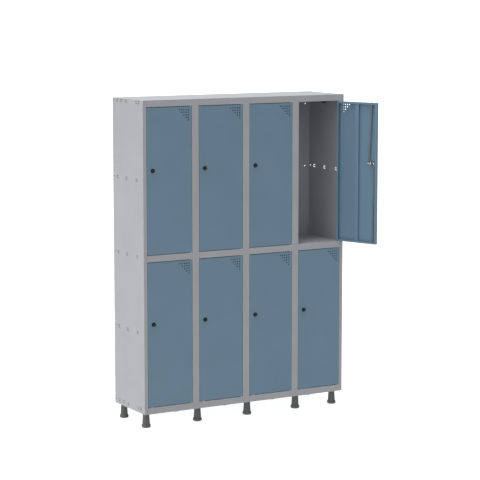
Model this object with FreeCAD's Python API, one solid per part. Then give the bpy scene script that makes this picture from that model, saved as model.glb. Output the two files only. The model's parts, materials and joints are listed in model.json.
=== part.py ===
import FreeCAD, Part
import math
import os

# Eight-door school locker: a sheet-steel cabinet of four columns and two levels on ten
# round feet. Every door is a folded pan hung on two pivot pins, with a two-point lock:
# an outside knob turns a cam that drives one rod up and one rod down into the frame.
#
# The model is laid out in cabinet coordinates, in millimetres: X from the cabinet's left
# side, Y from its front face towards the back, Z from the floor. write_parts() then moves
# everything so that the origin is under the centre of the stored object's bounding box.

# ---------------------------------------------------------------- driving dimensions
CABINET_WIDTH = 1380.0
CABINET_DEPTH = 400.0
CABINET_HEIGHT = 1945.0
FOOT_HEIGHT = 90.0
COLUMNS = 4
LEVELS = ("lower", "upper")
SHEET = 1.0

# front frame
POST_FACE = 45.0
RAIL_FACE = 39.0
FRAME_RETURN = 22.0
STOP_LIP = 10.0
SIDE_FLANGE = 15.0
FLOOR_FLANGE_FRONT_Y = 64.0

# doors
DOOR_SIDE_GAP = 1.5
DOOR_END_GAP = 3.0
DOOR_RECESS = 1.0
DOOR_DEPTH = 18.0
DOOR_LIP = 12.0
DOOR_EDGE_ROUND = 0.8
STORED_OPEN_COLUMN = 3
STORED_OPEN_LEVEL = "upper"
STORED_OPEN_DEGREES = 111.0

# pivot hinges
PIVOT_FROM_EDGE = 6.0
PIVOT_FROM_FACE = 3.6
PIN_RADIUS = 2.5
PIN_CLEARANCE = 0.05
PIN_ENGAGEMENT = 10.0
PIN_HEAD_RADIUS = 3.5
PIN_HEAD_HEIGHT = 1.5
WASHER_RADIUS = 4.5
WASHER_HEIGHT = 2.7

# vents: a right-angled triangle of round holes near the hinge-side top corner
VENT_ROWS = 5
VENT_PITCH = 15.0
VENT_RADIUS = 3.8
VENT_FROM_HINGE_EDGE = 21.7
VENT_FROM_TOP_EDGE = 18.5

# omega stiffener down the middle of each door
STIFFENER_FACE = 25.0
STIFFENER_DEPTH = 15.0
STIFFENER_FLANGE = 10.0

# lock
LOCK_FROM_FREE_EDGE = 39.2
LOCK_ABOVE_BOTTOM = 495.0
BARREL_RADIUS = 9.0
BARREL_DEPTH = 7.0
ESCUTCHEON_RADIUS = 13.5
ESCUTCHEON_HEIGHT = 1.6
LOCK_NUT_FLATS = 24.0
LOCK_NUT_HEIGHT = 4.0
SPINDLE_RADIUS = 4.0
SPINDLE_CLEARANCE = 0.08
KNOB_RADIUS = 10.5
KNOB_BASE_HEIGHT = 5.0
KNOB_HEIGHT = 14.0
KNOB_GRIP_WIDTH = 7.0
KNOB_GAP = 0.3
CAM_THROW = 20.0
CAM_EAR_RADIUS = 7.0
CAM_HUB_RADIUS = 11.0
CAM_THICKNESS = 3.0
CAM_NUT_RADIUS = 10.0
CAM_NUT_HEIGHT = 8.0
CAM_PIN_RADIUS = 3.0
CAM_PIN_CLEARANCE = 0.08
CAM_PIN_HEAD_RADIUS = 5.0
CAM_PIN_HEAD_HEIGHT = 1.2
CAM_FROM_ROD_PLANE = 7.2

# locking rods, in a plane behind the door's outer face
ROD_RADIUS = 4.0
ROD_FROM_FACE = 11.5
ROD_EYE_RADIUS = 7.0
ROD_EYE_THICKNESS = 4.0
ROD_TIP_AT_REST = 2.0
ROD_TIP_CHAMFER = 1.5
UP_ROD_GUIDE_OFFSET = 1.0
DOWN_ROD_GUIDE_OFFSET = -11.5
GUIDE_CLEARANCE = 0.4
KEEPER_EXTRA = 0.6

# side panels: rows of bracket-shaped lances and one round joining hole in each row
LANCE_ROWS = 5
LANCE_BOTTOM_INSET = 28.0
LANCE_TOP_INSET = 14.0
LANCE_HEIGHT = 16.0
LANCE_LENGTH = 22.0
LANCE_SLIT = 3.0
LANCE_Y = (83.0, 217.0, 336.0)
LANCE_Y_EXTRA = (48.0, 278.0)
JOINING_HOLE_Y = 382.0
JOINING_HOLE_RADIUS = 4.0

# back
WALL_HOLE_RADIUS = 3.3
WALL_HOLE_FROM_SIDE = 32.0
WALL_HOLE_LEVELS = (1473.0, 1867.0)

# feet
FOOT_TOP_RADIUS = 19.0
FOOT_LOW_RADIUS = 23.0
FOOT_COLLAR_RADIUS = 27.0
FOOT_COLLAR_HEIGHT = 19.0
FOOT_EDGE_ROUND = 5.0
FOOT_FROM_SIDE = 38.0
FOOT_FROM_PARTITION = 39.0
FOOT_FRONT_Y = 60.0
FOOT_BACK_Y = 356.0
STUD_RADIUS = 5.0
STUD_BOTTOM = 62.0
STUD_TOP = 108.0
FOOT_PLATE_SIDE = 50.0
FOOT_PLATE_THICKNESS = 2.0
FOOT_NUT_FLATS = 17.0
FOOT_NUT_HEIGHT = 8.0
THREAD_GAP = 0.05

# coat hooks on the right wall of every compartment
HOOK_Y = 195.0
HOOK_LOW_FROM_OPENING_TOP = 26.0
HOOK_RADIUS = 15.0
HOOK_TUBE_RADIUS = 5.5
HOOK_BALL_RADIUS = 7.5
HOOK_PLATE_HALF_WIDTH = 11.0
HOOK_PLATE_THICKNESS = 3.0
HOOK_PLATE_HEIGHT = 30.0

# rubber door buffers on the stop lips
BUFFER_RADIUS = 4.0
BUFFER_FROM_END = 60.0
BUFFER_GAP = 0.3

# pale nylon glides clipped over the bottom rail, under the free edge of each lower door
GLIDE_FROM_FREE_EDGE = 27.5
GLIDE_WIDTH = 11.0
GLIDE_HEIGHT = 2.5
GLIDE_DEPTH = 6.0
GLIDE_LIP_THICKNESS = 0.8
GLIDE_LIP_DROP = 1.0

# ---------------------------------------------------------------- derived dimensions
PITCH = CABINET_WIDTH / COLUMNS
BODY_BOTTOM = FOOT_HEIGHT
BODY_TOP = CABINET_HEIGHT
WALL_TOP = BODY_TOP - SHEET
HALF_POST = POST_FACE / 2.0
OPENING_HEIGHT = (BODY_TOP - BODY_BOTTOM - 3 * RAIL_FACE) / 2.0
RAIL_BOTTOMS = [BODY_BOTTOM + i * (OPENING_HEIGHT + RAIL_FACE) for i in range(3)]
OPENING_BOTTOMS = {
    level: RAIL_BOTTOMS[i] + RAIL_FACE for i, level in enumerate(LEVELS)
}
DOOR_WIDTH = PITCH - POST_FACE - 2 * DOOR_SIDE_GAP
DOOR_HEIGHT = OPENING_HEIGHT - 2 * DOOR_END_GAP
DOOR_LEFT = HALF_POST + DOOR_SIDE_GAP
DOOR_BACK_Y = DOOR_RECESS + DOOR_DEPTH
LOCK_X = DOOR_LEFT + LOCK_FROM_FREE_EDGE
PIVOT_X = DOOR_LEFT + DOOR_WIDTH - PIVOT_FROM_EDGE
PIVOT_Y = DOOR_RECESS + PIVOT_FROM_FACE
ROD_Y = DOOR_RECESS + ROD_FROM_FACE
BACK_INNER_Y = CABINET_DEPTH - SHEET
UP_REACH = DOOR_HEIGHT - LOCK_ABOVE_BOTTOM
DOWN_REACH = LOCK_ABOVE_BOTTOM
PIN_HOLE_RADIUS = PIN_RADIUS + PIN_CLEARANCE

X_AXIS = FreeCAD.Vector(1, 0, 0)
Y_AXIS = FreeCAD.Vector(0, 1, 0)
Z_AXIS = FreeCAD.Vector(0, 0, 1)


# ---------------------------------------------------------------- shape helpers
def point(x, y, z):
    return FreeCAD.Vector(x, y, z)


def box(x0, x1, y0, y1, z0, z1):
    """A box between two opposite corners."""
    return Part.makeBox(x1 - x0, y1 - y0, z1 - z0, point(x0, y0, z0))


def cylinder(base, direction, radius, length):
    return Part.makeCylinder(radius, length, base, direction)


def hexagon(base, direction, flats, length):
    """A hexagonal prism of the given width across flats, along Y or Z."""
    corner = flats / math.sqrt(3.0)
    across = X_AXIS
    other = direction.cross(across)
    corners = []
    for i in range(6):
        angle = math.radians(60.0 * i)
        corners.append(base + across * (corner * math.cos(angle)) + other * (corner * math.sin(angle)))
    outline = Part.makePolygon(corners + [corners[0]])
    return Part.Face(outline).extrude(direction * length)


def joined(shapes):
    """One solid made of touching or overlapping pieces."""
    return shapes[0].multiFuse(shapes[1:]).removeSplitter()


def without(shape, cutters):
    """The shape with every cutter taken out of it."""
    return shape.cut(Part.makeCompound(cutters))


def group(shapes):
    """Separate solids that share one node."""
    solids = [solid for shape in shapes for solid in shape.Solids]
    return Part.makeCompound(solids)


def column_left(column):
    return column * PITCH


def compartments():
    """Every (column, level) pair."""
    return [(column, level) for level in LEVELS for column in range(COLUMNS)]


def left_wall(column):
    """Inner face of the wall on a column's left."""
    if column == 0:
        return SHEET
    return column_left(column) + SHEET / 2.0


def right_wall(column):
    """Inner face of the wall on a column's right."""
    if column == COLUMNS - 1:
        return CABINET_WIDTH - SHEET
    return column_left(column + 1) - SHEET / 2.0


# ---------------------------------------------------------------- walls
def lance_levels():
    low = BODY_BOTTOM + LANCE_BOTTOM_INSET
    high = BODY_TOP - LANCE_TOP_INSET
    return [low + i * (high - low) / (LANCE_ROWS - 1) for i in range(LANCE_ROWS)]


def lance(x0, x1, y, z):
    """A bracket-shaped slit: an upright on its back side and two arms towards the front."""
    half = LANCE_HEIGHT / 2.0
    front = y - LANCE_LENGTH / 2.0
    back = y + LANCE_LENGTH / 2.0
    upright = box(x0, x1, back - LANCE_SLIT, back, z - half, z + half)
    low_arm = box(x0, x1, front, back, z - half, z - half + LANCE_SLIT)
    high_arm = box(x0, x1, front, back, z + half - LANCE_SLIT, z + half)
    return joined([upright, low_arm, high_arm])


def wall_cutters(x0, x1, rows):
    """Lances and joining holes for the given rows of a wall between x0 and x1."""
    levels = lance_levels()
    cutters = []
    for row in rows:
        z = levels[row]
        places = LANCE_Y
        if row in (0, LANCE_ROWS - 1):
            places = LANCE_Y + LANCE_Y_EXTRA
        cutters += [lance(x0, x1, y, z) for y in places]
        cutters.append(cylinder(point(x0, JOINING_HOLE_Y, z), X_AXIS, JOINING_HOLE_RADIUS, x1 - x0))
    return cutters


def side_panel(x0, flange_from):
    """An outer side: a flat sheet with a back flange folded inwards."""
    sheet = box(x0, x0 + SHEET, SHEET, BACK_INNER_Y, BODY_BOTTOM, WALL_TOP)
    flange = box(flange_from, flange_from + SIDE_FLANGE, BACK_INNER_Y - SHEET, BACK_INNER_Y,
                 BODY_BOTTOM + SHEET, WALL_TOP)
    return without(joined([sheet, flange]), wall_cutters(x0, x0 + SHEET, range(LANCE_ROWS)))


def partition(column):
    """The wall between two columns, with a flange strip welded along its front and back edges."""
    x = column_left(column)
    half = SHEET / 2.0
    low = BODY_BOTTOM + SHEET
    sheet = box(x - half, x + half, SHEET, BACK_INNER_Y, low, WALL_TOP)
    front = box(x + half, x + SIDE_FLANGE, SHEET, 2 * SHEET, low, WALL_TOP)
    back = box(x + half, x + SIDE_FLANGE, BACK_INNER_Y - SHEET, BACK_INNER_Y, low, WALL_TOP)
    quarter_rows = (1, 3)
    return group([without(sheet, wall_cutters(x - half, x + half, quarter_rows)), front, back])


def back_panel(x0, x1, hole_x):
    """One half of the back, with its wall-fixing holes."""
    sheet = box(x0, x1, BACK_INNER_Y, CABINET_DEPTH, BODY_BOTTOM, WALL_TOP)
    holes = [
        cylinder(point(hole_x, BACK_INNER_Y, z), Y_AXIS, WALL_HOLE_RADIUS, SHEET)
        for z in WALL_HOLE_LEVELS
    ]
    return without(sheet, holes)


def edge_flanges(z0, z1):
    """Flanges of the top or the base: one inside each side, and one per column at the back."""
    front = FRAME_RETURN + 2 * SHEET
    back = BACK_INNER_Y - 3 * SHEET
    flanges = [
        box(SHEET, 2 * SHEET, front, back, z0, z1),
        box(CABINET_WIDTH - 2 * SHEET, CABINET_WIDTH - SHEET, front, back, z0, z1),
    ]
    inset = SIDE_FLANGE + 3 * SHEET
    for column in range(COLUMNS):
        x0 = column_left(column) + inset
        x1 = column_left(column + 1) - inset
        flanges.append(box(x0, x1, BACK_INNER_Y - SHEET, BACK_INNER_Y, z0, z1))
    return flanges


def top_panel():
    """The top, whose side flanges are pierced where they lie behind the top row of a side."""
    sheet = box(0, CABINET_WIDTH, 0, CABINET_DEPTH, WALL_TOP, BODY_TOP)
    panel = joined([sheet] + edge_flanges(WALL_TOP - SIDE_FLANGE, WALL_TOP))
    top_row = (LANCE_ROWS - 1,)
    for x0 in (SHEET, CABINET_WIDTH - 2 * SHEET):
        panel = without(panel, wall_cutters(x0, x0 + SHEET, top_row))
    return panel


def foot_places():
    xs = [FOOT_FROM_SIDE]
    xs += [column_left(column) + FOOT_FROM_PARTITION for column in range(1, COLUMNS)]
    xs.append(CABINET_WIDTH - FOOT_FROM_SIDE)
    return [(x, y) for y in (FOOT_FRONT_Y, FOOT_BACK_Y) for x in xs]


def base_panel():
    """The bottom sheet, behind the bottom rails, with a clearance hole over every foot."""
    z0 = BODY_BOTTOM
    z1 = z0 + SHEET
    sheet = box(SHEET, CABINET_WIDTH - SHEET, FRAME_RETURN, BACK_INNER_Y, z0, z1)
    flanges = edge_flanges(z1, z1 + SIDE_FLANGE)
    for column in range(COLUMNS):
        x0 = column_left(column) + HALF_POST + SHEET
        x1 = column_left(column + 1) - HALF_POST - SHEET
        flanges.append(box(x0, x1, FRAME_RETURN, FRAME_RETURN + SHEET, z1, z1 + SIDE_FLANGE))
    holes = [
        cylinder(point(x, y, z0), Z_AXIS, STUD_RADIUS + 6 * THREAD_GAP, SHEET)
        for x, y in foot_places()
    ]
    return without(joined([sheet] + flanges), holes)


# ---------------------------------------------------------------- lock positions
def rod_sweep(offset, reach, sign):
    """Side positions of a rod at its door flange as the cam turns from 0 to 90 degrees.

    sign is 1 for the rod that goes up and -1 for the rod that goes down. The rod's tilt
    changes in proportion to the cam's angle.
    """
    start_tilt = (CAM_THROW * sign - offset) / reach
    end_tilt = -offset / (reach - CAM_THROW)
    places = []
    for degrees in range(0, 91, 5):
        share = degrees / 90.0
        angle = math.radians(degrees)
        tilt = start_tilt + (end_tilt - start_tilt) * share
        pin_side = sign * CAM_THROW * math.cos(angle)
        run = reach - CAM_THROW * math.sin(angle)
        places.append(pin_side - run * tilt)
    return min(places), max(places)


def guide_slot(column, offset, reach, sign, z0, z1, extra):
    """The slot that one rod passes through, in a door flange or a frame return."""
    low, high = rod_sweep(offset, reach, sign)
    margin = ROD_RADIUS + GUIDE_CLEARANCE + extra
    x = column_left(column) + LOCK_X
    return box(x + low - margin, x + high + margin, ROD_Y - margin, ROD_Y + margin, z0, z1)


def up_slot(column, z0, z1, extra=0.0):
    return guide_slot(column, UP_ROD_GUIDE_OFFSET, UP_REACH, 1, z0, z1, extra)


def down_slot(column, z0, z1, extra=0.0):
    return guide_slot(column, DOWN_ROD_GUIDE_OFFSET, DOWN_REACH, -1, z0, z1, extra)


def pivot_hole(column, z0, z1):
    base = point(column_left(column) + PIVOT_X, PIVOT_Y, z0)
    return cylinder(base, Z_AXIS, PIN_HOLE_RADIUS, z1 - z0)


# ---------------------------------------------------------------- front frame
def post(column):
    """The upright left of a column (or the last one): face, returns and door stop lips."""
    x = column_left(column)
    z0 = BODY_BOTTOM
    pieces = []
    face_left = max(x - HALF_POST, 0.0)
    face_right = min(x + HALF_POST, CABINET_WIDTH)
    pieces.append(box(face_left, face_right, 0, SHEET, z0, WALL_TOP))
    edges = []
    if column > 0:
        edges.append((face_left, 1))
    if column < COLUMNS:
        edges.append((face_right, -1))
    for edge, inwards in edges:
        xs = sorted((edge, edge + inwards * SHEET))
        pieces.append(box(xs[0], xs[1], 0, FRAME_RETURN, z0, WALL_TOP))
        lip = sorted((edge + inwards * SHEET, edge - inwards * STOP_LIP))
        for level in LEVELS:
            low = OPENING_BOTTOMS[level]
            pieces.append(box(lip[0], lip[1], FRAME_RETURN - SHEET, FRAME_RETURN, low, low + OPENING_HEIGHT))
    if column == 0:
        pieces.append(box(SHEET, 2 * SHEET, 0, SIDE_FLANGE, z0, WALL_TOP))
    if column == COLUMNS:
        pieces.append(box(face_right - 2 * SHEET, face_right - SHEET, 0, SIDE_FLANGE, z0, WALL_TOP))
    return joined(pieces)


def rail(column, index):
    """A cross rail between two posts: index 0 at the bottom, 1 between the levels, 2 at the top."""
    x0 = column_left(column) + HALF_POST
    x1 = column_left(column + 1) - HALF_POST
    z0 = RAIL_BOTTOMS[index]
    z1 = min(z0 + RAIL_FACE, WALL_TOP)
    pieces = [
        box(x0, x1, 0, SHEET, z0, z1),
        box(x0, x1, 0, FRAME_RETURN, z0, z0 + SHEET),
        box(x0, x1, 0, FRAME_RETURN, z1 - SHEET, z1),
    ]
    cutters = []
    if index > 0:
        cutters.append(up_slot(column, z0, z0 + SHEET, KEEPER_EXTRA))
        cutters.append(pivot_hole(column, z0, z0 + SHEET))
    if index < 2:
        cutters.append(down_slot(column, z1 - SHEET, z1, KEEPER_EXTRA))
        cutters.append(pivot_hole(column, z1 - SHEET, z1))
    return without(joined(pieces), cutters)


def compartment_floor(column, level):
    """A floor tray: lapped under the rail's return, with flanges down at its sides and back.

    A flange against an outer side is pierced like the side's row of lances in front of it.
    """
    z1 = OPENING_BOTTOMS[level] - SHEET
    z0 = z1 - SHEET
    skirt = z1 - SIDE_FLANGE - SHEET
    x0 = left_wall(column)
    x1 = right_wall(column)
    back = BACK_INNER_Y - SHEET
    lap_inset = HALF_POST + SHEET / 2.0
    lap = box(column_left(column) + lap_inset, column_left(column + 1) - lap_inset,
              2 * SHEET, FRAME_RETURN, z0, z1)
    pieces = [
        box(x0, x1, FRAME_RETURN, back, z0, z1),
        lap,
        box(x0, x0 + SHEET, FLOOR_FLANGE_FRONT_Y, back, skirt, z1),
        box(x1 - SHEET, x1, FLOOR_FLANGE_FRONT_Y, back, skirt, z1),
        box(x0, x1, back - SHEET, back, skirt, z1),
    ]
    cutters = [down_slot(column, z0, z1, KEEPER_EXTRA), pivot_hole(column, z0, z1)]
    rows = (0,) if level == "lower" else (LANCE_ROWS // 2,)
    if column == 0:
        cutters += wall_cutters(x0, x0 + SHEET, rows)
    if column == COLUMNS - 1:
        cutters += wall_cutters(x1 - SHEET, x1, rows)
    return without(joined(pieces), cutters)


# ---------------------------------------------------------------- doors
def door_z(level):
    return OPENING_BOTTOMS[level] + DOOR_END_GAP


def placed(shape, column, level):
    """Turns a door's piece to its stored position about the pivot axis."""
    if (column, level) != (STORED_OPEN_COLUMN, STORED_OPEN_LEVEL):
        return shape
    axis_point = point(column_left(column) + PIVOT_X, PIVOT_Y, 0)
    turned = shape.copy()
    turned.rotate(axis_point, Z_AXIS, STORED_OPEN_DEGREES)
    return turned


def vent_cutters(x1, z1):
    cutters = []
    for row in range(VENT_ROWS):
        z = z1 - VENT_FROM_TOP_EDGE - row * VENT_PITCH
        for i in range(VENT_ROWS - row):
            x = x1 - VENT_FROM_HINGE_EDGE - i * VENT_PITCH
            cutters.append(cylinder(point(x, DOOR_RECESS, z), Y_AXIS, VENT_RADIUS, SHEET))
    return cutters


def door_pan(column, level):
    """The folded door: skin, four returns and four inner lips, with all its holes."""
    x0 = column_left(column) + DOOR_LEFT
    x1 = x0 + DOOR_WIDTH
    y0 = DOOR_RECESS
    y1 = DOOR_BACK_Y
    z0 = door_z(level)
    z1 = z0 + DOOR_HEIGHT
    blank = box(x0, x1, y0, y1, z0, z1)
    front_edges = [
        edge for edge in blank.Edges
        if abs(edge.BoundBox.YMin - y0) < 1e-6 and abs(edge.BoundBox.YMax - y0) < 1e-6
    ]
    blank = blank.makeFillet(DOOR_EDGE_ROUND, front_edges)
    hollow = box(x0 + SHEET, x1 - SHEET, y0 + SHEET, y1 - SHEET, z0 + SHEET, z1 - SHEET)
    mouth = box(x0 + DOOR_LIP, x1 - DOOR_LIP, y1 - SHEET, y1, z0 + DOOR_LIP, z1 - DOOR_LIP)
    lock = point(column_left(column) + LOCK_X, y0, z0 + LOCK_ABOVE_BOTTOM)
    cutters = [
        hollow,
        mouth,
        cylinder(lock, Y_AXIS, BARREL_RADIUS + THREAD_GAP, SHEET),
        up_slot(column, z1 - SHEET, z1),
        down_slot(column, z0, z0 + SHEET),
        pivot_hole(column, z1 - SHEET, z1),
        pivot_hole(column, z0, z0 + SHEET),
    ]
    return without(blank, cutters + vent_cutters(x1, z1))


def door_stiffener(column, level):
    """The hat-section stiffener spot-welded down the middle of the skin."""
    middle = column_left(column) + DOOR_LEFT + DOOR_WIDTH / 2.0
    half = STIFFENER_FACE / 2.0
    y0 = DOOR_RECESS + SHEET
    y1 = y0 + STIFFENER_DEPTH
    z0 = door_z(level) + 2 * SHEET
    z1 = z0 + DOOR_HEIGHT - 4 * SHEET
    pieces = [box(middle - half, middle + half, y1 - SHEET, y1, z0, z1)]
    for side in (-1, 1):
        web = sorted((middle + side * half, middle + side * (half - SHEET)))
        flange = sorted((middle + side * (half - SHEET), middle + side * (half + STIFFENER_FLANGE)))
        pieces.append(box(web[0], web[1], y0, y1, z0, z1))
        pieces.append(box(flange[0], flange[1], y0, y0 + SHEET, z0, z1))
    return joined(pieces)


def lock_axis(column, level, y):
    return point(column_left(column) + LOCK_X, y, door_z(level) + LOCK_ABOVE_BOTTOM)


def lock_case(column, level):
    """The fixed escutcheon and barrel, and the nut that clamps them on the skin."""
    face = DOOR_RECESS

    def at(y):
        return lock_axis(column, level, y)

    plate = cylinder(at(face - ESCUTCHEON_HEIGHT), Y_AXIS, ESCUTCHEON_RADIUS, ESCUTCHEON_HEIGHT)
    rim = [edge for edge in plate.Edges if abs(edge.BoundBox.YMax - face + ESCUTCHEON_HEIGHT) < 1e-6]
    plate = plate.makeFillet(ESCUTCHEON_HEIGHT / 2.0, rim)
    barrel = cylinder(at(face - ESCUTCHEON_HEIGHT / 2.0), Y_AXIS, BARREL_RADIUS,
                      BARREL_DEPTH + ESCUTCHEON_HEIGHT / 2.0)
    bore = cylinder(at(face - ESCUTCHEON_HEIGHT), Y_AXIS, SPINDLE_RADIUS + SPINDLE_CLEARANCE,
                    BARREL_DEPTH + ESCUTCHEON_HEIGHT)
    case = joined([plate, barrel]).cut(bore)
    nut_from = face + SHEET
    nut = hexagon(at(nut_from), Y_AXIS, LOCK_NUT_FLATS, LOCK_NUT_HEIGHT)
    nut = nut.cut(cylinder(at(nut_from), Y_AXIS, BARREL_RADIUS + THREAD_GAP, LOCK_NUT_HEIGHT))
    return group([case, nut])


def turn_knob(column, level):
    """Knob, spindle and cam: the cam's ears point sideways while the lock is open."""

    def at(y):
        return lock_axis(column, level, y)

    base_y = DOOR_RECESS - ESCUTCHEON_HEIGHT - KNOB_GAP
    cam_y = ROD_Y + CAM_FROM_ROD_PLANE
    base = cylinder(at(base_y - KNOB_BASE_HEIGHT), Y_AXIS, KNOB_RADIUS, KNOB_BASE_HEIGHT)
    grip_round = cylinder(at(base_y - KNOB_HEIGHT), Y_AXIS, KNOB_RADIUS - 1.0, KNOB_HEIGHT)
    center = at(base_y)
    grip_bar = box(center.x - KNOB_RADIUS, center.x + KNOB_RADIUS,
                   base_y - KNOB_HEIGHT, base_y - KNOB_BASE_HEIGHT / 2.0,
                   center.z - KNOB_GRIP_WIDTH / 2.0, center.z + KNOB_GRIP_WIDTH / 2.0)
    grip = grip_round.common(grip_bar)
    spindle = cylinder(at(base_y - SHEET), Y_AXIS, SPINDLE_RADIUS, cam_y - base_y + 2 * SHEET)
    hub = cylinder(at(cam_y), Y_AXIS, CAM_HUB_RADIUS, CAM_THICKNESS)
    bar = box(center.x - CAM_THROW, center.x + CAM_THROW, cam_y, cam_y + CAM_THICKNESS,
              center.z - CAM_EAR_RADIUS, center.z + CAM_EAR_RADIUS)
    nut = cylinder(at(cam_y + CAM_THICKNESS), Y_AXIS, CAM_NUT_RADIUS, CAM_NUT_HEIGHT)
    pieces = [base, grip, spindle, hub, bar, nut]
    for side in (-1, 1):
        ear = at(cam_y) + X_AXIS * (side * CAM_THROW)
        pin_from = ear - Y_AXIS * (CAM_FROM_ROD_PLANE + ROD_EYE_THICKNESS / 2.0 + SHEET)
        pin_length = CAM_FROM_ROD_PLANE + ROD_EYE_THICKNESS / 2.0 + 2 * SHEET
        pieces.append(cylinder(ear, Y_AXIS, CAM_EAR_RADIUS, CAM_THICKNESS))
        pieces.append(cylinder(pin_from, Y_AXIS, CAM_PIN_RADIUS, pin_length))
        head_from = ear + Y_AXIS * CAM_THICKNESS
        pieces.append(cylinder(head_from, Y_AXIS, CAM_PIN_HEAD_RADIUS, CAM_PIN_HEAD_HEIGHT))
    return joined(pieces)


def lock_rod(column, level, sign):
    """A locking rod with an eye on the cam pin: sign 1 goes up, sign -1 goes down."""
    reach = UP_REACH if sign > 0 else DOWN_REACH
    offset = UP_ROD_GUIDE_OFFSET if sign > 0 else DOWN_ROD_GUIDE_OFFSET
    pin = lock_axis(column, level, ROD_Y) + X_AXIS * (sign * CAM_THROW)
    along = point(offset - sign * CAM_THROW, 0, sign * reach)
    length = along.Length * (reach + ROD_TIP_AT_REST) / reach
    along.normalize()
    eye_y = Y_AXIS * (ROD_EYE_THICKNESS / 2.0)
    eye = cylinder(pin - eye_y, Y_AXIS, ROD_EYE_RADIUS, ROD_EYE_THICKNESS)
    neck = CAM_PIN_RADIUS + 2.0
    shank_length = length - neck
    shank = cylinder(pin + along * neck, along, ROD_RADIUS, shank_length - ROD_TIP_CHAMFER)
    tip = Part.makeCone(ROD_RADIUS, ROD_RADIUS - ROD_TIP_CHAMFER, ROD_TIP_CHAMFER,
                        pin + along * (length - ROD_TIP_CHAMFER), along)
    hole_radius = CAM_PIN_RADIUS + CAM_PIN_CLEARANCE
    hole = cylinder(pin - Y_AXIS * (2 * ROD_RADIUS), Y_AXIS, hole_radius, 4 * ROD_RADIUS)
    return joined([eye, shank, tip]).cut(hole)


# ---------------------------------------------------------------- small root parts
def hinge_pins(column, level):
    """The lower and upper pivot pins of one door, with their heads inside the rails."""
    x = column_left(column) + PIVOT_X
    low = OPENING_BOTTOMS[level]
    high = low + OPENING_HEIGHT
    low_head = low - 2 * SHEET - PIN_HEAD_HEIGHT
    high_head = high + SHEET
    lower = joined([
        cylinder(point(x, PIVOT_Y, low_head), Z_AXIS, PIN_HEAD_RADIUS, PIN_HEAD_HEIGHT),
        cylinder(point(x, PIVOT_Y, low_head), Z_AXIS, PIN_RADIUS, low + PIN_ENGAGEMENT - low_head),
    ])
    upper = joined([
        cylinder(point(x, PIVOT_Y, high_head), Z_AXIS, PIN_HEAD_RADIUS, PIN_HEAD_HEIGHT),
        cylinder(point(x, PIVOT_Y, high - PIN_ENGAGEMENT), Z_AXIS, PIN_RADIUS,
                 high_head - high + PIN_ENGAGEMENT + PIN_HEAD_HEIGHT),
    ])
    return [lower, upper]


def hinge_washers(column, level):
    """Spacers on the pivot pins, in the gaps under and over one door."""
    x = column_left(column) + PIVOT_X
    low = OPENING_BOTTOMS[level]
    rings = []
    for z in (low, low + OPENING_HEIGHT - WASHER_HEIGHT):
        ring = cylinder(point(x, PIVOT_Y, z), Z_AXIS, WASHER_RADIUS, WASHER_HEIGHT)
        rings.append(ring.cut(cylinder(point(x, PIVOT_Y, z), Z_AXIS, PIN_HOLE_RADIUS, WASHER_HEIGHT)))
    return rings


def foot(x, y):
    """A moulded foot: a cone on a wide collar, bored for its stud."""
    height = FOOT_HEIGHT
    collar = FOOT_COLLAR_HEIGHT
    edge = FOOT_EDGE_ROUND
    mid = point(FOOT_COLLAR_RADIUS - edge * (1 - math.cos(math.pi / 4)), 0,
                edge * (1 - math.sin(math.pi / 4)))
    start = point(0, 0, 0)
    low = point(FOOT_COLLAR_RADIUS - edge, 0, 0)
    side = point(FOOT_COLLAR_RADIUS, 0, edge)
    shoulder = point(FOOT_COLLAR_RADIUS, 0, collar)
    cone_low = point(FOOT_LOW_RADIUS, 0, collar)
    cone_top = point(FOOT_TOP_RADIUS, 0, height)
    center = point(0, 0, height)
    outline = Part.Wire([
        Part.makeLine(start, low),
        Part.Arc(low, mid, side).toShape(),
        Part.makeLine(side, shoulder),
        Part.makeLine(shoulder, cone_low),
        Part.makeLine(cone_low, cone_top),
        Part.makeLine(cone_top, center),
        Part.makeLine(center, start),
    ])
    solid = Part.Face(outline).revolve(point(0, 0, 0), Z_AXIS, 360)
    bore_from = STUD_BOTTOM - SHEET
    bore = cylinder(point(0, 0, bore_from), Z_AXIS, STUD_RADIUS + THREAD_GAP, height - bore_from)
    moved = solid.cut(bore)
    moved.translate(point(x, y, 0))
    return moved


def foot_stud(x, y):
    return cylinder(point(x, y, STUD_BOTTOM), Z_AXIS, STUD_RADIUS, STUD_TOP - STUD_BOTTOM)


def foot_plate(x, y):
    """The reinforcing plate over a foot, with its weld nut."""
    half = FOOT_PLATE_SIDE / 2.0
    z0 = BODY_BOTTOM + SHEET
    z1 = z0 + FOOT_PLATE_THICKNESS
    plate = box(x - half, x + half, y - half, y + half, z0, z1)
    nut = hexagon(point(x, y, z1), Z_AXIS, FOOT_NUT_FLATS, FOOT_NUT_HEIGHT)
    bore_length = FOOT_PLATE_THICKNESS + FOOT_NUT_HEIGHT
    bore = cylinder(point(x, y, z0), Z_AXIS, STUD_RADIUS + THREAD_GAP, bore_length)
    return joined([plate, nut]).cut(bore)


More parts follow.
